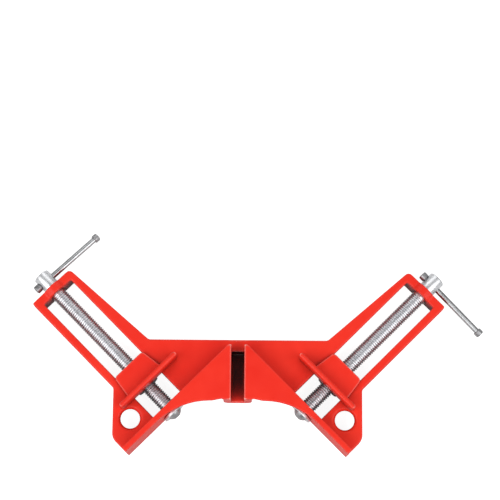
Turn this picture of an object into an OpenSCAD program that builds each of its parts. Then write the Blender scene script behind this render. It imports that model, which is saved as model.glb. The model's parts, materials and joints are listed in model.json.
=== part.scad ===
// Corner clamp: a cast body holds two work pieces square against its fences, and two captive screws
// draw a sliding jaw along each arm. All sizes are in millimetres.
// The origin is the corner where the two fence faces meet, on the plane that the clamp stands on.
// The right arm runs along +X, the left arm along +Y, and +Z is up.

/* [Floor] */
// Height of the work floor above the plane that the clamp stands on
floor_h = 16; // [15:0.5:22]
// Thickness of the floor plate
floor_t = 3; // [2:0.1:4]
// Depth of the skirt round the floor's outline
skirt_depth = 8.6; // [5:0.2:12]
// Thickness of the skirt
skirt_t = 2.6; // [2:0.1:3.2]
// Distance from the corner to the floor's back edge, along the corner line
back_edge = 1.4; // [0.8:0.1:3]
// Radius of the floor's outer corner at each fence end
flank_r = 8; // [2:0.5:10]
// Radius of the inside corners of the floor's outline
inner_r = 3; // [1:0.5:6]

/* [Fences] */
// Thickness of the fence walls
fence_t = 3.6; // [3:0.1:4.6]
// Height of the fences above the work floor
fence_h = 12; // [9:0.5:18]
// Length of each fence beyond its fixing hole
fence_past_hole = 16.8; // [14:0.2:24]
// Width of the flat nose of each fence tip beside the slot
tip_w = 1.9; // [0.6:0.1:3]

/* [Web and slot] */
// Thickness of the web between the fences
web_t = 3; // [2:0.1:5]
// Distance from the corner to the web's front edge, along the corner line
web_front = 42.2; // [38:0.2:50]
// Radius that blends the web's front edge into the fences
web_blend_r = 48; // [20:1:50]
// Depth of the scoop in the web's front edge beside the slot rib
scoop = 1.4; // [0.4:0.1:3]
// Length of that scoop
scoop_l = 7; // [4:0.5:8]
// Width of the corner slot
slot_w = 8.4; // [6:0.2:10]
// Thickness of the slot rib's side walls
slot_wall = 5; // [3:0.2:6]
// Depth of the slot's floor below the work floor
slot_drop = 8; // [1:0.2:8.4]
// Depth of the slot rib's underside below the work floor
rib_depth = 12; // [10:0.2:13.5]
// Radius of the slot rib's lower edges
rib_r = 5; // [1:0.2:6]
// Distance by which the slot rib's front stands back from the web's front edge
rib_setback = 1; // [0.6:0.1:2]
// Width by which the web overhangs the slot rib
web_lip = 0.3; // [0.2:0.05:0.5]

/* [Arms] */
// Distance of the screw's axis from the corner, along the fence
screw_offset = 63; // [58:0.5:70]
// Distance from the fence face to the end of the arm
arm_reach = 110; // [95:1:140]
// Width of the window in the arm
window_w = 23.6; // [22:0.2:28]
// Width of the rail in front of the window
rail_front_w = 5.2; // [4.4:0.1:7]
// Width of the rail behind the window, at the arm's end
rail_back_w = 4.2; // [4:0.1:6]
// Width of the rail behind the window, where the arm leaves the floor
rail_root_w = 9.2; // [7:0.2:12]
// Thickness of the deep walls along the window
rail_wall = 2.6; // [2:0.1:2.8]
// Distance by which those walls stand back under the window's rim
rail_setback = 1; // [0.4:0.1:1.2]
// Depth of those walls below the work floor
rail_depth = 14.5; // [11:0.1:14.5]
// Thickness of the arm's end beyond the window
end_t = 5.6; // [4:0.1:8]
// Distance by which the wall under the arm's end stands back
end_inset = 1.5; // [1:0.1:2]
// Radius of the arm end's back corner
arm_back_r = 3; // [1:0.5:4]
// Radius of the arm end's front corner
arm_front_r = 1; // [0.5:0.1:2]
// Wall round the screw in the arm's end
hump_wall = 4.2; // [2.6:0.1:4.4]

/* [Fixing holes] */
// Diameter of the fixing holes
hole_d = 12.4; // [5:0.1:13]
// Chamfer round the fixing holes
hole_chamfer = 1.5; // [0.5:0.1:2]
// Distance of a fixing hole's centre from the fence face
hole_inset = 11.2; // [10:0.1:13]
// Distance of a fixing hole's centre from the window, along the fence
hole_gap = 11.2; // [10:0.1:14]
// Distance of a fixing hole's centre from the floor's flank
hole_to_flank = 11.3; // [10.5:0.1:16]

/* [Screws] */
// Outer diameter of the screw's thread
screw_d = 10; // [8:0.1:12]
// Depth of the screw's axis below the work floor
screw_drop = 6.5; // [6:0.1:7]
// Height of the step from the screw to its head
head_step = 0.5; // [0.4:0.1:2]
// Length of the screw's head
head_l = 11; // [8:0.2:16]
// Width by which the retaining washer laps the screw all round
washer_lap = 2.5; // [1:0.1:3.4]
// Thickness of the retaining washer
washer_t = 2; // [1:0.1:3]
// Diameter of the retaining screw's shank
retainer_d = 6; // [4:0.1:7]
// Width by which the retaining screw's head laps its shank all round
retainer_lap = 2; // [1.2:0.1:2.4]
// Height of the retaining screw's head
retainer_h = 3; // [1.5:0.1:4]
// Length of the retaining screw below its head
retainer_l = 9; // [6:0.5:16]

/* [Tommy bars] */
// Diameter of the bars
bar_d = 3.8; // [3:0.1:4.4]
// Length of a bar over its caps
bar_l = 55; // [42:0.5:66]
// Wall of the caps on the bars' ends
cap_wall = 0.85; // [0.6:0.05:1.1]
// Length of the caps
cap_l = 3.5; // [2.6:0.1:6]
// Thickness of the caps' closed ends
cap_end = 1; // [0.6:0.1:1.6]
// Height of a bar's lower end above the plane that the clamp stands on
bar_lift = 0.5; // [0.3:0.1:3]

/* [Jaws] */
// Opening between the fence face and the jaw face
jaw_open = 18; // [6:0.5:60]
// Thickness of the jaw wall
jaw_t = 3.6; // [3:0.1:6]
// Height of the jaw wall's top above the work floor
jaw_h = 12; // [8:0.5:18]
// Reach of the jaw wall from the screw's axis towards the corner
jaw_in = 26.5; // [18:0.5:30]
// Reach of the jaw wall from the screw's axis away from the corner
jaw_out = 22.3; // [18:0.5:30]
// Length of the foot behind the jaw wall
foot_l = 15.2; // [12:0.2:20]
// Thickness of the foot
foot_t = 2.8; // [2:0.1:4.5]
// Width by which the foot laps the rails at its back edge
foot_lap_back = 0.5; // [0.4:0.1:2]
// Width by which the foot laps the rails at the jaw wall
foot_lap_front = 2.6; // [1:0.1:3.2]
// Radius of the foot's back corners
foot_r = 2.5; // [0.5:0.1:4]
// Wall of the threaded boss round the screw
boss_wall = 3; // [2.4:0.1:3.4]
// Distance by which the threaded boss stands back from the jaw face
boss_recess = 0.4; // [0.2:0.1:1.4]
// Distance by which the threaded boss stops short of the foot's back edge
boss_setback = 0.8; // [0.4:0.1:2]

/* [Clearances] */
// Gap between a jaw and the floor
slide_gap = 0.25; // [0.1:0.05:0.5]
// Gap on each side of the jaw's guide block in the window
guide_gap = 0.3; // [0.2:0.05:0.6]
// Radial clearance of the screws and bars in their bores
run_gap = 0.08; // [0.02:0.01:0.1]
// Gap at each end of a screw, between it and the body
end_gap = 0.3; // [0.2:0.05:0.6]
// Gap between a bar's cap and the screw's head
stop_gap = 0.15; // [0.1:0.05:0.5]
// Radial clearance of pieces that are pressed or screwed together
seat_gap = 0.04; // [0.01:0.01:0.06]

/* [Hidden] */
$fn = 96;
// Steps along each rounded corner of a plan outline
arc_steps = 8;
// Length by which a cut runs past the face that it opens
cut = 1;
// Chamfer on the turned pieces' edges
chamfer = 0.6;

// Positions along the fence, measured from the corner
window_back = screw_offset - window_w / 2;
window_front = screw_offset + window_w / 2;
arm_back = window_back - rail_back_w;
arm_front = window_front + rail_front_w;
hole_v = window_front + hole_gap;
fence_l = hole_v + fence_past_hole;
wall_back = window_back - rail_setback - rail_wall;
wall_front = window_front + rail_setback + rail_wall;
shoulder_v = window_back - rail_root_w;

// Positions away from the fence face
shoulder_u = shoulder_v - back_edge * sqrt(2);
window_end = arm_reach - end_t;
flank_sum = hole_inset + hole_v + hole_to_flank * sqrt(2);
foot_front = jaw_open + jaw_t;
foot_back = foot_front + foot_l;
tail_x = -fence_t - end_gap;
head_x = arm_reach + end_gap;
bar_x = head_x + head_l / 2;

// Heights
fence_top = floor_h + fence_h;
jaw_top = floor_h + jaw_h;
screw_h = floor_h - screw_drop;
foot_z = floor_h + slide_gap;
rib_low = floor_h - rib_depth;
slot_floor = floor_h - slot_drop;

// Diameters and radii
head_d = screw_d + 2 * head_step;
hump_r = min(screw_d / 2 + hump_wall, screw_h);
boss_d = screw_d + 2 * boss_wall;
washer_d = screw_d + 2 * washer_lap;
retainer_r = retainer_d / 2 + retainer_lap;
cap_d = bar_d + 2 * cap_wall;

// Tommy bars: where the caps stop, and how far the bar's outer end can dip
near_stop = head_d / 2 + stop_gap;
far_reach = bar_l - near_stop - cap_l;
bar_dip = asin((screw_h - cap_d / 2 - bar_lift) / far_reach);

// Corner line: slot rib and web
rib_half = slot_w / 2 + slot_wall;
rib_front = web_front - rib_setback;
slot_step = fence_t * sqrt(2) + slot_w / 2;
tip_v = (slot_w / 2 + tip_w) * sqrt(2);
web_corner = web_front - fence_t * sqrt(2);
blend_r = min(web_blend_r, (web_corner - rib_half - scoop_l) / tan(22.5));

paint = "#e8271d";
bright = "#d5d8da";
steel = "#b4b8bb";

// Point at a distance across and a distance along the corner line
function beside_line(across, along) = [across - along, -across - along] / sqrt(2);
// Plan outlines are lists of [point, radius]
function spin(p, a) = [p[0] * cos(a) - p[1] * sin(a), p[0] * sin(a) + p[1] * cos(a)];
function right_normal(d) = [d[1], -d[0]] / norm(d);
function corner_arc(a, p, b, r) =
    let (da = (a - p) / norm(a - p), db = (b - p) / norm(b - p), half = acos(da * db) / 2,
         centre = p + (da + db) / norm(da + db) * r / sin(half),
         from = p + da * r / tan(half) - centre,
         sweep = sign(cross(p - a, b - p)) * (180 - 2 * half))
    [for (i = [0 : arc_steps]) centre + spin(from, sweep * i / arc_steps)];
function rounded(corners) =
    let (n = len(corners))
    [for (i = [0 : n - 1])
        let (p = corners[i][0], r = corners[i][1])
        each r > 0 ? corner_arc(corners[(i + n - 1) % n][0], p, corners[(i + 1) % n][0], r) : [p]];
// Moves the sides of a clockwise outline inwards by t
function inset(corners, t) =
    let (n = len(corners))
    [for (i = [0 : n - 1])
        let (p = corners[i][0], m = right_normal(p - corners[(i + n - 1) % n][0]),
             k = right_normal(corners[(i + 1) % n][0] - p))
        [p + (m + k) * t / (1 + m * k), corners[i][1]]];
function mirrored(corners) =
    let (n = len(corners))
    [for (i = [n - 1 : -1 : 0]) [[corners[i][0][1], corners[i][0][0]], corners[i][1]]];

// Right side of the floor's outline, clockwise from the back edge to the fence's end
right_side = [
    [[shoulder_u, -shoulder_v], inner_r],
    [[arm_reach, -arm_back], arm_back_r],
    [[arm_reach, -arm_front], arm_front_r],
    [[flank_sum - arm_front, -arm_front], inner_r],
    [[flank_sum - fence_l, -fence_l], flank_r],
    [[-fence_t, -fence_l], 0]];
slot_landing = [[[-fence_t, fence_t - (slot_step + cut) * sqrt(2)], 0]];
outline = concat(right_side, slot_landing, mirrored(slot_landing), mirrored(right_side));
// The same side, closed so that the hollow under the floor ends at the fence face
right_hollow = concat([for (i = [0 : len(right_side) - 2]) right_side[i]],
                      [[[-skirt_t, -fence_l], 0], [[-skirt_t, skirt_t - back_edge * sqrt(2)], 0]]);

module left() { mirror([1, -1, 0]) children(); }
module both() {
    children();
    left() children();
}
module prism(low, high) { translate([0, 0, low]) linear_extrude(high - low) children(); }
// Turns +Z along the right arm, on the screw's axis
module on_axis(x) { translate([x, -screw_offset, screw_h]) rotate([0, 90, 0]) children(); }
// Turns +Z along the right bar, towards its lower end: away from the corner for 1, to the corner for -1
module on_bar(way) {
    translate([bar_x, -screw_offset, screw_h]) rotate([way * (90 + bar_dip), 0, 0]) children();
}
// Turns +Z along the corner line, towards the front, and +Y up
module on_corner_line(from) { rotate([0, 0, -45]) translate([0, -from, 0]) rotate([90, 0, 0]) children(); }

module floor_tray() {
    difference() {
        prism(floor_h - skirt_depth, floor_h) polygon(rounded(outline));
        both() prism(floor_h - skirt_depth - cut, floor_h - floor_t)
            polygon(rounded(inset(right_hollow, skirt_t)));
    }
}

// Fence walls under the floor, down to the standing plane
module lower_fences() {
    trim = -back_edge * sqrt(2);
    prism(0, floor_h - floor_t * 2 / 3) polygon([
        [0, trim], [0, -fence_l], [-fence_t, -fence_l], [-fence_t, -fence_t],
        [-fence_l, -fence_t], [-fence_l, 0], [trim, 0]]);
}

// Right fence above the floor
module upper_fence() {
    prism(floor_h - floor_t / 4, fence_top - web_t / 2)
        polygon([[0, -tip_v], [0, -fence_l], [-fence_t, -fence_l], [-fence_t, fence_t - tip_v]]);
}

// Top of the fences and the web between them, which overhangs the slot rib
module web() {
    meet = web_front * sqrt(2) - fence_t;
    right_edge = [
        [[0, -tip_v], 0], [[0, -fence_l], 0], [[-fence_t, -fence_l], 0], [[-fence_t, -meet], blend_r],
        [beside_line(rib_half + scoop_l, web_front), 0],
        [beside_line(rib_half + web_lip, web_front - scoop), 0],
        [beside_line(rib_half + web_lip, rib_front + web_lip), 0]];
    prism(fence_top - web_t, fence_top) polygon(rounded(concat(right_edge, mirrored(right_edge))));
}

// Rib on the corner line that carries the slot, with rounded lower edges
// Above the floor it starts inside the fences
module slot_rib() {
    back = back_edge + skirt_t / 2;
    high = fence_top - web_t / 2;
    intersection() {
        on_corner_line(back) linear_extrude(rib_front - back) polygon(rounded([
            [[-rib_half, high], 0], [[-rib_half, rib_low], rib_r],
            [[rib_half, rib_low], rib_r], [[rib_half, high], 0]]));
        union() {
            prism(0, floor_h - floor_t / 3) square(4 * web_front, center = true);
            translate([-fence_t / 2, -fence_t / 2, 0]) mirror([1, 1, 0])
                cube([2 * web_front, 2 * web_front, fence_top]);
        }
    }
}

// Fences, web and rib, parted by the gap along the corner line
module upper_works() {
    difference() {
        union() {
            slot_rib();
            both() upper_fence();
            web();
        }
        on_corner_line(0) translate([-slot_w / 2, floor_h - floor_t / 2, 0])
            cube([slot_w, fence_top, 2 * web_front]);
    }
}

// Deep walls along the right window, the wall at its end and the half-round hump round the screw
module arm_walls() {
    low = floor_h - rail_depth;
    for (v = [wall_back, wall_front - rail_wall])
        translate([-fence_t / 2, -v - rail_wall, low])
            cube([window_end + fence_t / 2 + cut, rail_wall, rail_depth - floor_t / 2]);
    translate([window_end, -wall_front, 0])
        cube([end_t - end_inset, wall_front - wall_back, floor_h - floor_t / 2]);
    on_axis(window_end) cylinder(h = end_t, r = hump_r);
}

// Window, fixing hole and screw bores of the right side
module arm_cuts() {
    translate([0, -window_front, floor_h - floor_t - cut]) cube([window_end, window_w, floor_t + 2 * cut]);
    translate([hole_inset, -hole_v, floor_h - floor_t - cut]) cylinder(h = floor_t + 2 * cut, d = hole_d);
    translate([hole_inset, -hole_v, floor_h - hole_chamfer])
        cylinder(h = hole_chamfer, d1 = hole_d, d2 = hole_d + 2 * hole_chamfer);
    on_axis(-fence_t - cut) cylinder(h = fence_t + 2 * cut, d = screw_d + 2 * run_gap);
    on_axis(window_end - cut) cylinder(h = end_t + 2 * cut, d = screw_d + 2 * run_gap);
}

module body_casting() {
    color(paint) difference() {
        union() {
            floor_tray();
            lower_fences();
            upper_works();
            both() arm_walls();
        }
        both() arm_cuts();
        on_corner_line(slot_step) translate([-slot_w / 2, slot_floor, 0])
            cube([slot_w, fence_top, web_front]);
    }
}

module jaw() {
    back = window_w / 2 + foot_lap_back;
    front = window_w / 2 + foot_lap_front;
    guide = window_w - 2 * guide_gap;
    round_r = jaw_t / 2;
    color(paint) difference() {
        union() {
            // Jaw wall, with a full round along its top and down its ends
            translate([jaw_open + round_r, -screw_offset, 0]) intersection() {
                prism(foot_z, jaw_top) {
                    translate([-round_r, round_r - jaw_out]) square([jaw_t, jaw_in + jaw_out - jaw_t]);
                    for (y = [round_r - jaw_out, jaw_in - round_r])
                        translate([0, y]) circle(round_r);
                }
                translate([0, jaw_in, 0]) rotate([90, 0, 0]) linear_extrude(jaw_in + jaw_out) {
                    translate([-round_r, 0]) square([jaw_t, jaw_top - round_r]);
                    translate([0, jaw_top - round_r]) circle(round_r);
                }
            }
            // Foot on the rails, guide block in the window and threaded boss
            translate([0, -screw_offset, 0]) prism(foot_z, foot_z + foot_t) polygon(rounded([
                [[foot_front - round_r, front], 0], [[foot_front, front], 0],
                [[foot_back, back], foot_r], [[foot_back, -back], foot_r],
                [[foot_front, -front], 0], [[foot_front - round_r, -front], 0]]));
            translate([foot_front, -screw_offset - guide / 2, floor_h - floor_t])
                cube([foot_l - boss_setback, guide, floor_t + slide_gap + foot_t / 2]);
            on_axis(jaw_open + boss_recess)
                cylinder(h = foot_back - boss_setback - jaw_open - boss_recess, d = boss_d);
        }
        on_axis(0) cylinder(h = arm_reach, d = screw_d + 2 * run_gap);
    }
}

module screw(way) {
    shaft = head_x - tail_x;
    end = shaft + head_l;
    color(bright) difference() {
        on_axis(tail_x) rotate_extrude() polygon([
            [0, 0], [screw_d / 2, 0], [screw_d / 2, shaft], [head_d / 2 - chamfer / 2, shaft],
            [head_d / 2, shaft + chamfer / 2], [head_d / 2, end - chamfer],
            [head_d / 2 - chamfer, end], [0, end]]);
        on_bar(way) translate([0, 0, -head_d]) cylinder(h = 2 * head_d, d = bar_d + 2 * run_gap);
        on_axis(tail_x - cut) cylinder(h = retainer_l + cut, d = retainer_d + 2 * seat_gap);
    }
}

module washer() {
    color(bright) on_axis(tail_x - washer_t) difference() {
        cylinder(h = washer_t, d = washer_d);
        translate([0, 0, -cut]) cylinder(h = washer_t + 2 * cut, d = retainer_d + 2 * seat_gap);
    }
}

// Screw with a domed head, which clamps the washer to the long screw's tail
module retaining_screw() {
    dome_r = (retainer_r * retainer_r + retainer_h * retainer_h) / (2 * retainer_h);
    color(steel) on_axis(tail_x - washer_t) {
        intersection() {
            translate([0, 0, dome_r - retainer_h]) sphere(dome_r);
            translate([0, 0, -retainer_h]) cylinder(h = retainer_h, r = retainer_r + cut);
        }
        cylinder(h = retainer_l, d = retainer_d);
    }
}

module bar(way) {
    color(bright) on_bar(way) translate([0, 0, cap_end - near_stop - cap_l])
        cylinder(h = bar_l - 2 * cap_end, d = bar_d);
}

// Cap pressed over one end of a bar, drawn open end first
module cap_shape() {
    bore = bar_d / 2 + seat_gap;
    rotate_extrude() polygon([
        [bore, 0], [cap_d / 2 - chamfer / 2, 0], [cap_d / 2, chamfer / 2], [cap_d / 2, cap_l - chamfer],
        [cap_d / 2 - chamfer, cap_l], [0, cap_l], [0, cap_l - cap_end], [bore, cap_l - cap_end]]);
}
module low_cap(way) { color(steel) on_bar(way) translate([0, 0, far_reach - cap_l]) cap_shape(); }
module high_cap(way) { color(steel) on_bar(way) translate([0, 0, -near_stop]) rotate([180, 0, 0]) cap_shape(); }

body_casting();
jaw();  // right_jaw
left() jaw();  // left_jaw
screw(1);  // right_screw
left() screw(-1);  // left_screw
washer();  // right_washer
left() washer();  // left_washer
retaining_screw();  // right_retaining_screw
left() retaining_screw();  // left_retaining_screw
bar(1);  // right_bar
left() bar(-1);  // left_bar
low_cap(1);  // right_bar_outer_cap
high_cap(1);  // right_bar_inner_cap
left() high_cap(-1);  // left_bar_outer_cap
left() low_cap(-1);  // left_bar_inner_cap
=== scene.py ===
"""Looks of the corner clamp: rounded red castings, threaded plated screws and sliding tommy bars."""

import json
import math

import bmesh
import bpy
from mathutils import Matrix, Vector

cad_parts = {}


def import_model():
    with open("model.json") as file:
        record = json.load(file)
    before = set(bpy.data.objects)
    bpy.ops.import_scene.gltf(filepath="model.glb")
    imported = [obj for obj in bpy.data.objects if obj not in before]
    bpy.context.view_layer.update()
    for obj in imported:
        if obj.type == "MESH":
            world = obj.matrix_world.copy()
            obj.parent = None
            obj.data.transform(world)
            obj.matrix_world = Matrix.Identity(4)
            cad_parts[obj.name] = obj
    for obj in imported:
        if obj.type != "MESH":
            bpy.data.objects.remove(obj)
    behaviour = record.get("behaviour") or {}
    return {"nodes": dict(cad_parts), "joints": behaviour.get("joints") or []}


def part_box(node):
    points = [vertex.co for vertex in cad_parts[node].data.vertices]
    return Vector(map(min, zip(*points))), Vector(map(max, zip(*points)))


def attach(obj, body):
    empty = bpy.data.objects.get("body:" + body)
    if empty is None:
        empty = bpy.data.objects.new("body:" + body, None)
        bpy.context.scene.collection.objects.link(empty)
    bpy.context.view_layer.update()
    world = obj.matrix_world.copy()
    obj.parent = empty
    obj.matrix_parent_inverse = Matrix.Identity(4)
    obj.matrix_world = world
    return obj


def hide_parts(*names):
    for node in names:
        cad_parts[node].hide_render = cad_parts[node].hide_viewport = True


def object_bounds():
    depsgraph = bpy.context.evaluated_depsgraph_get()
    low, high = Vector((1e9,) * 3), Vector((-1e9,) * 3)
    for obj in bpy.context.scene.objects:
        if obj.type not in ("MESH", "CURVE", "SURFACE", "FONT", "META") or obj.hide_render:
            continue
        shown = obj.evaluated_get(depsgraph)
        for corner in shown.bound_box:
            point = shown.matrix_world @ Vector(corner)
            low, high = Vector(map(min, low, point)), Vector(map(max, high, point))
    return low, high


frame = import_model()
cad_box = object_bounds()
nodes = frame["nodes"]
joints = {j["name"]: j for j in frame["joints"]}

SIDES = ("right", "left")
SCREW_AXIS = {"right": 0, "left": 1}
MM = 0.001

# Camera, fitted to the photograph. The corner line runs away from the camera, 45 degrees off the part's
# axes. Camera and lamps are set up along that line and then turned.
CORNER_LINE_TURN = math.radians(-45)
CAMERA_AZIMUTH = math.radians(1.44)
CAMERA_ELEVATION = math.radians(77.42)
CAMERA_ROLL = math.radians(-0.96)
CAMERA_DISTANCE = 0.9971
CAMERA_TARGET = Vector((0.0071, 0.0582, 0.016))
FOCAL_PIXELS = 1520.8
IMAGE_PIXELS = 500
SENSOR_WIDTH = 36.0

# Range of noise values that is spread over a range of roughness, and range that is spread over colours
NOISE_LOW = 0.3
NOISE_HIGH = 0.7
BLOTCH_LOW = 0.35
BLOTCH_HIGH = 0.65

# Paint, with painted shade darkening its recesses and painted highlights lightening its outside edges.
# Shades are (position, colour) stops, and each reach is how far a point looks round itself.
# The painted edge highlights are full where x and y differ by less than the near distance, and from the
# far distance on take the share of the body or the jaws.
OCCLUSION_RAYS = 8
RED_LOW = (0.87, 0.022, 0.009)
RED_HIGH = (0.93, 0.031, 0.013)
# Painted shade: the colour is darkened in recesses by how closed in they are
RECESS_SHADE_REACH = 25 * MM
RECESS_PAINTED_SHADE = ((0.25, (0.05, 0.04, 0.04)), (0.34, (0.74, 0.70, 0.70)), (0.7, (1, 1, 1)))
# Painted highlight: a pale red mixed into outside edges
PAINTED_HIGHLIGHT_RED = (1.0, 0.55, 0.48)
EDGE_HIGHLIGHT_REACH = 1.2 * MM
EDGE_HIGHLIGHT_STOPS = ((0.66, (0.9, 0.9, 0.9)), (0.9, (0, 0, 0)))
EDGE_HIGHLIGHT_NEAR = 7 * MM
EDGE_HIGHLIGHT_FAR = 10 * MM
BODY_EDGE_HIGHLIGHT = 0.08
JAW_EDGE_HIGHLIGHT = 0.35

# Plated steel
STEEL_LOW = (0.78, 0.79, 0.81)
STEEL_HIGH = (0.88, 0.89, 0.91)
BAR_LOW = (0.44, 0.45, 0.46)
BAR_HIGH = (0.58, 0.59, 0.60)
FASTENER_LOW = (0.36, 0.36, 0.37)
FASTENER_HIGH = (0.50, 0.50, 0.51)
# Painted shade: thread roots and other narrow recesses are darkened in the metal's colour
THREAD_ROOT_SHADE_REACH = 1.2 * MM
THREAD_ROOT_PAINTED_SHADE = ((0.35, (0.68, 0.67, 0.69)), (0.85, (1, 1, 1)))

# Castings
WELD_DISTANCE = 1e-6
RELAX_SHARE = 0.5
CASTING_GRAIN = 0.45 * MM
CASTING_PASSES = 11
CASTING_FACES = 120000
JAW_GRAIN = 0.3 * MM
JAW_PASSES = 8
JAW_FACES = 24000

# Screws
ROUND_STEPS = 64
SMALL_ROUND_STEPS = 48
THREAD_PITCH = 1.5 * MM
THREAD_RADIUS = 5.0 * MM
THREAD_DEPTH = 0.75 * MM
THREAD_STEPS = 48
SPARE_TURNS = 2
# One pitch of the thread: shares of the pitch, and heights above the root as shares of the depth
THREAD_SHAPE = ((0.0, 1.0), (0.12, 1.0), (0.44, 0.0), (0.56, 0.0), (0.88, 1.0))
JOURNAL_LENGTH = 7.4 * MM
HEAD_LENGTH = 11.0 * MM
HEAD_ROUNDING = 0.8 * MM
BAR_HOLE_RADIUS = 1.98 * MM
EDGE = 0.5 * MM

# Retaining screws, washers and caps
DOME_HEIGHT = 3.0 * MM
DOME_STEPS = 12
SHANK_RADIUS = 3.0 * MM
SOCKET_RADIUS = 2.3 * MM
SOCKET_DEPTH = 1.9 * MM
SOCKET_SIDES = 6
CAP_LENGTH = 3.5 * MM
CAP_END = 1.0 * MM
CAP_RADIUS = 2.75 * MM
CAP_BORE = 1.94 * MM
SOFT = 0.3 * MM
WASHER_PLAY = SOFT / 8

# Floor and light. Glossy and transmission rays see a share of the glow that the camera sees.
FLOOR_REACH = 6.0
FLOOR_DROP = 0.2 * MM
FLOOR_GREY = 0.5
FLOOR_GLOW = 0.9
MIRRORED_GLOW = 0.25
WORLD_STRENGTH = 0.22
LAMP_DISTANCE = 1.5
# Name, azimuth and elevation in degrees, diameter in metres, power in watts
LAMPS = (("left", -64, 46, 1.35, 11.6), ("right", 64, 46, 1.35, 10.7),
         ("front", -8, 50, 0.8, 3), ("back", 180, 38, 1.2, 4.8))


def link(obj):
    bpy.context.scene.collection.objects.link(obj)
    return obj


def mesh_object(name, bm, smooth_angle=35):
    """Makes an object of bm, with smooth shading up to the given angle between faces."""
    mesh = bpy.data.meshes.new(name)
    bm.normal_update()
    for face in bm.faces:
        face.smooth = True
    for edge in bm.edges:
        if len(edge.link_faces) == 2 and edge.calc_face_angle(0) > math.radians(smooth_angle):
            edge.smooth = False
    bm.to_mesh(mesh)
    bm.free()
    return link(bpy.data.objects.new(name, mesh))


def modified_mesh(obj):
    """The mesh of obj with its modifiers applied."""
    bpy.context.view_layer.update()
    return bpy.data.meshes.new_from_object(obj.evaluated_get(bpy.context.evaluated_depsgraph_get()))


def stand_in(obj, node, body, material):
    """obj takes the place of a CAD node."""
    obj.data.materials.clear()
    obj.data.materials.append(material)
    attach(obj, body)
    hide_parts(node)


# Materials

def shader(name):
    material = bpy.data.materials.new(name)
    material.use_nodes = True
    return material, material.node_tree, material.node_tree.nodes["Principled BSDF"]


def noise(tree, place, scale, detail):
    node = tree.nodes.new("ShaderNodeTexNoise")
    node.inputs["Scale"].default_value = scale
    node.inputs["Detail"].default_value = detail
    tree.links.new(place, node.inputs["Vector"])
    return node.outputs["Fac"]


def spread(tree, value, low, high):
    """Maps a noise value to the range low to high."""
    node = tree.nodes.new("ShaderNodeMapRange")
    node.inputs["From Min"].default_value = NOISE_LOW
    node.inputs["From Max"].default_value = NOISE_HIGH
    node.inputs["To Min"].default_value = low
    node.inputs["To Max"].default_value = high
    tree.links.new(value, node.inputs["Value"])
    return node.outputs["Result"]


def shades(tree, value, stops):
    """Maps a value through a list of (position, colour) stops."""
    node = tree.nodes.new("ShaderNodeValToRGB")
    ramp = node.color_ramp.elements
    while len(ramp) < len(stops):
        ramp.new(1.0)
    for element, (position, colour) in zip(ramp, stops):
        element.position = position
        element.color = (*colour, 1)
    tree.links.new(value, node.inputs["Fac"])
    return node.outputs["Color"]


def colours(tree, value, low, high):
    """Maps a noise value to a colour from low to high."""
    return shades(tree, value, ((BLOTCH_LOW, low), (BLOTCH_HIGH, high)))


def bump(tree, height, strength, distance):
    node = tree.nodes.new("ShaderNodeBump")
    node.inputs["Strength"].default_value = strength
    node.inputs["Distance"].default_value = distance
    tree.links.new(height, node.inputs["Height"])
    return node.outputs["Normal"]


def times(tree, colour, factor):
    """A colour multiplied by another."""
    mix = tree.nodes.new("ShaderNodeMix")
    mix.data_type = "RGBA"
    mix.blend_type = "MULTIPLY"
    mix.inputs["Factor"].default_value = 1.0
    tree.links.new(colour, mix.inputs["A"])
    tree.links.new(factor, mix.inputs["B"])
    return mix.outputs["Result"]


def paint_shade_in_recesses(tree, colour, reach, stops):
    """Paints shade into a colour: darker in recesses, by how closed in they are within the reach."""
    open_sky = tree.nodes.new("ShaderNodeAmbientOcclusion")
    open_sky.samples = OCCLUSION_RAYS
    open_sky.inputs["Distance"].default_value = reach
    return times(tree, colour, shades(tree, open_sky.outputs["AO"], stops))


def edges(tree, colour, highlight_colour, share):
    """Paints highlights into a colour: lighter on outside edges, by a share that a node gives."""
    solid = tree.nodes.new("ShaderNodeAmbientOcclusion")
    solid.inside = True
    solid.samples = OCCLUSION_RAYS
    solid.inputs["Distance"].default_value = EDGE_HIGHLIGHT_REACH
    amount = times(tree, shades(tree, solid.outputs["AO"], EDGE_HIGHLIGHT_STOPS), share)
    mix = tree.nodes.new("ShaderNodeMix")
    mix.data_type = "RGBA"
    tree.links.new(amount, mix.inputs["Factor"])
    tree.links.new(colour, mix.inputs["A"])
    mix.inputs["B"].default_value = (*highlight_colour, 1)
    return mix.outputs["Result"]


def edge_highlight_share(tree, place, elsewhere):
    """Share of painted edge highlight: 1 near the corner line, where x and y are about the same, and less
    elsewhere.
    """
    parts = tree.nodes.new("ShaderNodeSeparateXYZ")
    tree.links.new(place, parts.inputs["Vector"])
    across = tree.nodes.new("ShaderNodeMath")
    across.operation = "SUBTRACT"
    tree.links.new(parts.outputs["X"], across.inputs[0])
    tree.links.new(parts.outputs["Y"], across.inputs[1])
    distance = tree.nodes.new("ShaderNodeMath")
    distance.operation = "ABSOLUTE"
    tree.links.new(across.outputs["Value"], distance.inputs[0])
    node = tree.nodes.new("ShaderNodeMapRange")
    node.inputs["From Min"].default_value = EDGE_HIGHLIGHT_NEAR
    node.inputs["From Max"].default_value = EDGE_HIGHLIGHT_FAR
    node.inputs["To Min"].default_value = 1.0
    node.inputs["To Max"].default_value = elsewhere
    tree.links.new(distance.outputs["Value"], node.inputs["Value"])
    return node.outputs["Result"]


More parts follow.
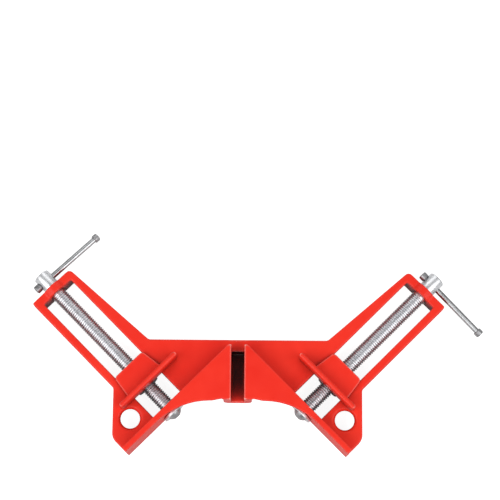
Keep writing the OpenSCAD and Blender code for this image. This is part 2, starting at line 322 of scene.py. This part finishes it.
def red_paint(name, highlight_share):
    material, tree, bsdf = shader(name)
    place = tree.nodes.new("ShaderNodeTexCoord").outputs["Object"]
    blotch = noise(tree, place, scale=35, detail=3)
    peel = noise(tree, place, scale=900, detail=2)
    dullness = noise(tree, place, scale=140, detail=4)
    paint = colours(tree, blotch, RED_LOW, RED_HIGH)
    # Painted highlights lightening the outside edges, fullest along the corner line
    paint = edges(tree, paint, PAINTED_HIGHLIGHT_RED, edge_highlight_share(tree, place, highlight_share))
    # Painted shade darkening the recesses
    paint = paint_shade_in_recesses(tree, paint, RECESS_SHADE_REACH, RECESS_PAINTED_SHADE)
    tree.links.new(paint, bsdf.inputs["Base Color"])
    tree.links.new(spread(tree, dullness, low=0.40, high=0.50), bsdf.inputs["Roughness"])
    tree.links.new(bump(tree, peel, strength=0.10, distance=0.15 * MM), bsdf.inputs["Normal"])
    bsdf.inputs["Specular IOR Level"].default_value = 0.25
    bsdf.inputs["Coat Weight"].default_value = 0.1
    bsdf.inputs["Coat Roughness"].default_value = 0.15
    return material


def plated_steel(name, low, high, roughness):
    material, tree, bsdf = shader(name)
    place = tree.nodes.new("ShaderNodeTexCoord").outputs["Object"]
    stain = noise(tree, place, scale=160, detail=5)
    grain = noise(tree, place, scale=1600, detail=3)
    dullness = noise(tree, place, scale=420, detail=4)
    # Painted shade darkens the thread roots and other narrow recesses
    metal = paint_shade_in_recesses(tree, colours(tree, stain, low, high), THREAD_ROOT_SHADE_REACH, THREAD_ROOT_PAINTED_SHADE)
    tree.links.new(metal, bsdf.inputs["Base Color"])
    uneven = spread(tree, dullness, low=roughness - 0.05, high=roughness + 0.07)
    tree.links.new(uneven, bsdf.inputs["Roughness"])
    tree.links.new(bump(tree, grain, strength=0.12, distance=0.08 * MM), bsdf.inputs["Normal"])
    bsdf.inputs["Metallic"].default_value = 1.0
    return material


BODY_RED = red_paint("body_red_paint", BODY_EDGE_HIGHLIGHT)
JAW_RED = red_paint("jaw_red_paint", JAW_EDGE_HIGHLIGHT)
STEEL = plated_steel("plated_steel", STEEL_LOW, STEEL_HIGH, roughness=0.40)
BAR_STEEL = plated_steel("bar_steel", BAR_LOW, BAR_HIGH, roughness=0.30)
FASTENER = plated_steel("fastener_steel", FASTENER_LOW, FASTENER_HIGH, roughness=0.44)


# Castings: copies of the CAD nodes with the rounded edges and filled corners of a die casting

def rounded_copy(node, grain, passes, faces):
    """Copy of a CAD node on an even grid, smoothed so that its edges round over, then thinned out."""
    source = bpy.data.objects.new(node + "_grid", nodes[node].data.copy())
    link(source)
    weld = source.modifiers.new("weld", "WELD")
    weld.merge_threshold = WELD_DISTANCE
    grid = source.modifiers.new("grid", "REMESH")
    grid.mode = "VOXEL"
    grid.voxel_size = grain
    relax = source.modifiers.new("relax", "SMOOTH")
    relax.factor = RELAX_SHARE
    relax.iterations = passes
    smooth = modified_mesh(source)
    source.modifiers.clear()
    source.data = smooth
    thin = source.modifiers.new("thin", "DECIMATE")
    triangles = 2 * len(smooth.polygons)
    thin.ratio = min(1.0, faces / triangles)
    made = modified_mesh(source)
    bpy.data.objects.remove(source)
    bm = bmesh.new()
    bm.from_mesh(made)
    return mesh_object(node + "_rounded", bm, smooth_angle=50)


body = rounded_copy("body_casting", CASTING_GRAIN, CASTING_PASSES, CASTING_FACES)
stand_in(body, "body_casting", "frame", BODY_RED)
for side in SIDES:
    jaw = rounded_copy(side + "_jaw", JAW_GRAIN, JAW_PASSES, JAW_FACES)
    stand_in(jaw, side + "_jaw", side + "_slider", JAW_RED)


# Screws

def axis_frame(side):
    """Matrix that takes +Z to the screw's axis, and the heights of the screw's two ends on it.

    The matrix takes the origin to where the axis passes the fence's face.
    """
    low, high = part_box(side + "_screw")
    centre = (low + high) / 2
    if side == "right":
        turn = Matrix.Rotation(math.radians(90), 4, "Y")
        return Matrix.Translation((0, centre.y, centre.z)) @ turn, low.x, high.x
    turn = Matrix.Rotation(math.radians(-90), 4, "X")
    return Matrix.Translation((centre.x, 0, centre.z)) @ turn, low.y, high.y


def lathe(bm, profile, steps=ROUND_STEPS, ring=False):
    """Turns a profile of (radius, height) pairs. Its ends lie on the axis, or meet if it is a ring."""
    angles = [2 * math.pi * i / steps for i in range(steps)]
    around = [(math.cos(angle), math.sin(angle)) for angle in angles]
    rings = []
    for radius, height in profile:
        if radius == 0:
            rings.append([bm.verts.new((0, 0, height))])
        else:
            rings.append([bm.verts.new((radius * x, radius * y, height)) for x, y in around])
    pairs = list(zip(rings, rings[1:])) + ([(rings[-1], rings[0])] if ring else [])
    made = []
    for lower, upper in pairs:
        for i in range(steps):
            # On the axis a ring is one point, and there two corners are the same
            corners = [lower[i % len(lower)], lower[(i + 1) % steps % len(lower)],
                       upper[(i + 1) % steps % len(upper)], upper[i % len(upper)]]
            made.append(bm.faces.new(list(dict.fromkeys(corners))))
    bmesh.ops.recalc_face_normals(bm, faces=made)


def turned(profile, placing, steps=ROUND_STEPS, ring=False):
    bm = bmesh.new()
    lathe(bm, profile, steps, ring)
    bm.transform(placing)
    return bm


def drilled(name, bm, cutter):
    """The solid in bm without the solid in cutter, as a mesh."""
    solid = mesh_object(name, bm)
    hole = mesh_object(name + "_hole", cutter)
    cut = solid.modifiers.new("hole", "BOOLEAN")
    cut.object = hole
    cut.solver = "EXACT"
    mesh = modified_mesh(solid)
    bpy.data.objects.remove(hole)
    bpy.data.objects.remove(solid)
    return mesh


def thread(start, end):
    """Right-hand thread round +Z, made with spare turns, then cut off square and closed at both heights."""
    bm = bmesh.new()
    columns = []
    turns = int((end - start) / THREAD_PITCH) + 2 * SPARE_TURNS
    for i in range(turns * THREAD_STEPS):
        angle = 2 * math.pi * i / THREAD_STEPS
        column = []
        for along, height in THREAD_SHAPE:
            radius = THREAD_RADIUS - THREAD_DEPTH * (1 - height)
            column.append(bm.verts.new((radius * math.cos(angle), radius * math.sin(angle),
                                        start + THREAD_PITCH * (i / THREAD_STEPS + along - SPARE_TURNS))))
        columns.append(column)
    for i, (here, there) in enumerate(zip(columns, columns[1:])):
        for j in range(len(THREAD_SHAPE) - 1):
            bm.faces.new((here[j], there[j], there[j + 1], here[j + 1]))
        if i + 1 + THREAD_STEPS < len(columns):
            next_here = columns[i + THREAD_STEPS]
            next_there = columns[i + 1 + THREAD_STEPS]
            bm.faces.new((here[-1], there[-1], next_there[0], next_here[0]))
    for height, outwards in ((start, -1), (end, 1)):
        everything = bm.verts[:] + bm.edges[:] + bm.faces[:]
        cut = bmesh.ops.bisect_plane(bm, geom=everything, plane_co=(0, 0, height),
                                     plane_no=(0, 0, outwards), clear_outer=True)
        outline = [part for part in cut["geom_cut"] if isinstance(part, bmesh.types.BMEdge)]
        bmesh.ops.contextual_create(bm, geom=outline)
    return bm


def screw(side):
    """Threaded spindle with a plain journal and a head that is drilled across for the bar."""
    placing, start, end = axis_frame(side)
    head_start = end - HEAD_LENGTH
    low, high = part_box(side + "_screw")
    head_radius = (high.z - low.z) / 2
    corner = EDGE / 2
    profile = ((0, head_start), (head_radius - corner, head_start), (head_radius, head_start + corner),
               (head_radius, end - HEAD_ROUNDING), (head_radius - corner, end - corner),
               (head_radius - HEAD_ROUNDING, end), (0, end))
    head = turned(profile, placing)
    direction = Vector(joints[side + "_bar_slide"]["axis"])
    bar_low, bar_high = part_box(side + "_bar")
    bar_middle = (bar_low + bar_high) / 2
    middle = placing @ Vector((0, 0, bar_middle[SCREW_AXIS[side]]))
    along_bar = Matrix.Translation(middle) @ direction.to_track_quat("Z", "Y").to_matrix().to_4x4()
    reach = 2 * head_radius
    bore = ((0, -reach), (BAR_HOLE_RADIUS, -reach), (BAR_HOLE_RADIUS, reach), (0, reach))
    hole = turned(bore, along_bar, SMALL_ROUND_STEPS)
    head_mesh = drilled(side + "_head", head, hole)
    journal = head_start - JOURNAL_LENGTH
    bm = thread(start, journal)
    lathe(bm, ((0, journal - EDGE), (THREAD_RADIUS - EDGE, journal - EDGE), (THREAD_RADIUS, journal),
               (THREAD_RADIUS, head_start + EDGE), (0, head_start + EDGE)))
    bm.transform(placing)
    bm.from_mesh(head_mesh)
    return mesh_object(side + "_threaded_screw", bm, smooth_angle=30)


def retaining_screw(side):
    """Screw with a domed head and a six-sided socket."""
    placing = axis_frame(side)[0]
    low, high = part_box(side + "_retaining_screw")
    axis = SCREW_AXIS[side]
    apex, tail = low[axis], high[axis]
    rim = (high.z - low.z) / 2
    dome = (rim * rim + DOME_HEIGHT * DOME_HEIGHT) / (2 * DOME_HEIGHT)
    widest = math.asin(rim / dome)
    profile = [(0, apex)]
    for i in range(1, DOME_STEPS + 1):
        angle = widest * i / DOME_STEPS
        profile.append((dome * math.sin(angle), apex + dome - dome * math.cos(angle)))
    profile += [(SHANK_RADIUS, apex + DOME_HEIGHT), (SHANK_RADIUS, tail), (0, tail)]
    solid = turned(profile, placing)
    above = apex - DOME_HEIGHT
    bottom = apex + SOCKET_DEPTH
    point = bottom + SOCKET_RADIUS / 4
    opening = ((0, above), (SOCKET_RADIUS, above), (SOCKET_RADIUS, bottom), (0, point))
    socket = turned(opening, placing, SOCKET_SIDES)
    bm = bmesh.new()
    bm.from_mesh(drilled(side + "_dome", solid, socket))
    return mesh_object(side + "_socket_screw", bm, smooth_angle=30)


def washer(side):
    placing = axis_frame(side)[0]
    low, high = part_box(side + "_washer")
    axis = SCREW_AXIS[side]
    rim = (high.z - low.z) / 2
    bottom, top = low[axis], high[axis]
    bore = SHANK_RADIUS + WASHER_PLAY
    corner = SOFT / 4
    profile = ((bore, bottom), (rim - SOFT, bottom), (rim - corner, bottom + corner), (rim, bottom + SOFT),
               (rim, top - SOFT), (rim - corner, top - corner), (rim - SOFT, top), (bore, top))
    return mesh_object(side + "_round_washer", turned(profile, placing, ring=True))


def bar_cap(side, name):
    """Cap with a rounded closed end, which points away from the middle of the bar."""
    low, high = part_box(name)
    bar_low, bar_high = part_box(side + "_bar")
    outwards = Vector(joints[side + "_bar_slide"]["axis"])
    if outwards.dot(low + high - bar_low - bar_high) < 0:
        outwards = -outwards
    top = CAP_LENGTH / 2
    inner = top - CAP_END
    corner = 0.6 * SOFT
    profile = ((0, inner), (CAP_BORE, inner), (CAP_BORE, -top), (CAP_RADIUS - SOFT, -top),
               (CAP_RADIUS, SOFT - top), (CAP_RADIUS, top - 2 * SOFT),
               (CAP_RADIUS - corner, top - corner), (CAP_RADIUS - 2 * SOFT, top), (0, top))
    placing = Matrix.Translation((low + high) / 2) @ outwards.to_track_quat("Z", "Y").to_matrix().to_4x4()
    return mesh_object(name + "_round", turned(profile, placing, SMALL_ROUND_STEPS))


for side in SIDES:
    stand_in(screw(side), side + "_screw", side + "_spindle", STEEL)
    stand_in(washer(side), side + "_washer", side + "_spindle", STEEL)
    stand_in(retaining_screw(side), side + "_retaining_screw", side + "_spindle", FASTENER)
    for which in ("outer", "inner"):
        cap = side + "_bar_" + which + "_cap"
        stand_in(bar_cap(side, cap), cap, side + "_handle", FASTENER)
    nodes[side + "_bar"].data.materials.clear()
    nodes[side + "_bar"].data.materials.append(BAR_STEEL)


# Floor, light and camera

def floor():
    bm = bmesh.new()
    bmesh.ops.create_grid(bm, x_segments=1, y_segments=1, size=FLOOR_REACH)
    obj = mesh_object("floor", bm)
    material, tree, bsdf = shader("floor")
    bsdf.inputs["Base Color"].default_value = (FLOOR_GREY, FLOOR_GREY, FLOOR_GREY, 1)
    bsdf.inputs["Roughness"].default_value = 0.9
    bsdf.inputs["Emission Color"].default_value = (FLOOR_GLOW, FLOOR_GLOW, FLOOR_GLOW, 1)
    rays = tree.nodes.new("ShaderNodeLightPath").outputs
    mirrored = tree.nodes.new("ShaderNodeMath")
    mirrored.operation = "ADD"
    tree.links.new(rays["Is Glossy Ray"], mirrored.inputs[0])
    tree.links.new(rays["Is Transmission Ray"], mirrored.inputs[1])
    seen = tree.nodes.new("ShaderNodeMath")
    seen.operation = "MULTIPLY_ADD"
    tree.links.new(mirrored.outputs["Value"], seen.inputs[0])
    seen.inputs[1].default_value = MIRRORED_GLOW
    tree.links.new(rays["Is Camera Ray"], seen.inputs[2])
    tree.links.new(seen.outputs["Value"], bsdf.inputs["Emission Strength"])
    obj.data.materials.append(material)
    obj.location.z = cad_box[0].z - FLOOR_DROP


def lamp(name, azimuth, elevation, size, power):
    """Lamp aimed at the part, at an azimuth measured from the camera's side towards the right."""
    across, up = math.radians(azimuth), math.radians(elevation)
    towards = Vector((math.sin(across) * math.cos(up), -math.cos(across) * math.cos(up), math.sin(up)))
    towards.rotate(Matrix.Rotation(CORNER_LINE_TURN, 3, "Z"))
    data = bpy.data.lights.new(name, "AREA")
    data.shape = "DISK"
    data.size = size
    data.energy = power
    obj = link(bpy.data.objects.new(name, data))
    obj.location = towards * LAMP_DISTANCE
    obj.rotation_euler = towards.to_track_quat("Z", "Y").to_euler()


def camera():
    back = Vector((math.sin(CAMERA_AZIMUTH) * math.cos(CAMERA_ELEVATION),
                   -math.cos(CAMERA_AZIMUTH) * math.cos(CAMERA_ELEVATION), math.sin(CAMERA_ELEVATION)))
    right = Vector((math.cos(CAMERA_AZIMUTH), math.sin(CAMERA_AZIMUTH), 0))
    up = back.cross(right)
    rolled_right = right * math.cos(CAMERA_ROLL) + up * math.sin(CAMERA_ROLL)
    rolled_up = up * math.cos(CAMERA_ROLL) - right * math.sin(CAMERA_ROLL)
    turn = Matrix.Rotation(CORNER_LINE_TURN, 4, "Z")
    axes = Matrix((rolled_right, rolled_up, back)).transposed().to_4x4()
    data = bpy.data.cameras.new("camera")
    data.sensor_width = SENSOR_WIDTH
    data.lens = FOCAL_PIXELS / IMAGE_PIXELS * SENSOR_WIDTH
    obj = link(bpy.data.objects.new("camera", data))
    obj.matrix_world = turn @ Matrix.Translation(CAMERA_TARGET + back * CAMERA_DISTANCE) @ axes
    bpy.context.scene.camera = obj


def world():
    made = bpy.data.worlds.new("studio")
    made.use_nodes = True
    shade = made.node_tree.nodes["Background"]
    shade.inputs["Color"].default_value = (1, 1, 1, 1)
    shade.inputs["Strength"].default_value = WORLD_STRENGTH
    bpy.context.scene.world = made


floor()
world()
for name, azimuth, elevation, size, power in LAMPS:
    lamp(name, azimuth, elevation, size, power)
camera()

bpy.context.scene.view_settings.view_transform = "Standard"
